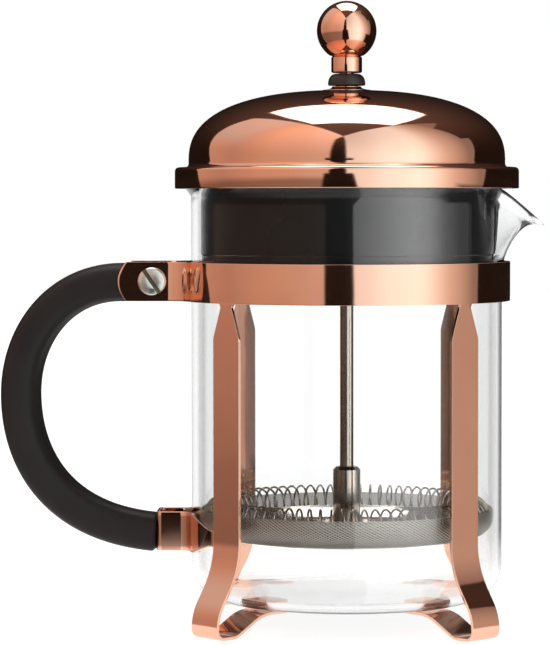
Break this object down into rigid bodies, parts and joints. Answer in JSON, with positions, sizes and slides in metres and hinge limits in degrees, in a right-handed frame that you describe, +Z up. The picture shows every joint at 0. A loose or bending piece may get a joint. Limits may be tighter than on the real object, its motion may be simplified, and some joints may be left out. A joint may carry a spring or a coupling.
{
  "type": "french press",
  "caption": "French press with a glass beaker in a copper-plated frame, a black side handle, a domed lid that lifts off and a filter plunger with a ball knob.",
  "frame": {"origin": "centre of the whole footprint, on the plane that the feet stand on", "axes": "+Z up along the plunger; +X towards the spout, -X towards the handle; -Y is the side with the clamp screw's head"},
  "size_m": [0.1596, 0.1, 0.1814],
  "materials": {
    "copper_plate": "bright copper plate on steel",
    "black_handle": "matte black moulded plastic",
    "black_lid": "glossy black moulded plastic",
    "nickel": "bright nickel plate",
    "steel": "polished stainless steel",
    "steel_mesh": "woven stainless steel wire cloth",
    "glass": "clear heat-resistant glass"
  },
  "bodies": {
    "stand": {"frame": "copper_plate", "lower_bracket": "copper_plate", "handle": "black_handle", "clamp_screw": "nickel", "clamp_nut": "nickel", "lower_screw": "steel"},
    "glass": {"beaker": "glass"},
    "lid_carrier": {"rod_bush": "black_lid", "lid_ferrule": "copper_plate"},
    "lid": {"lid_dome": "copper_plate", "lid_insert": "black_lid"},
    "plunger": {"knob": "copper_plate", "plunger_rod": "steel", "rod_sleeve": "steel", "spiral_plate": "steel", "coil_spring": "steel", "filter_mesh": "steel_mesh", "mesh_eyelet": "steel", "cross_plate": "steel", "filter_nut": "steel"}
  },
  "joints": [
    {"name": "beaker_lift", "type": "slide", "parent": "stand", "child": "glass", "axis": [0, 0, 1], "range_m": [0, 0.105]},
    {"name": "lid_lift", "type": "slide", "parent": "glass", "child": "lid_carrier", "axis": [0, 0, 1], "range_m": [0, 0.112]},
    {"name": "lid_turn", "type": "hinge", "parent": "lid_carrier", "child": "lid", "pos_m": [0.0215, 0, 0.13], "axis": [0, 0, 1], "continuous": true},
    {"name": "plunger_slide", "type": "slide", "parent": "lid_carrier", "child": "plunger", "axis": [0, 0, 1], "range_m": [0, 0.0615]}
  ]
}
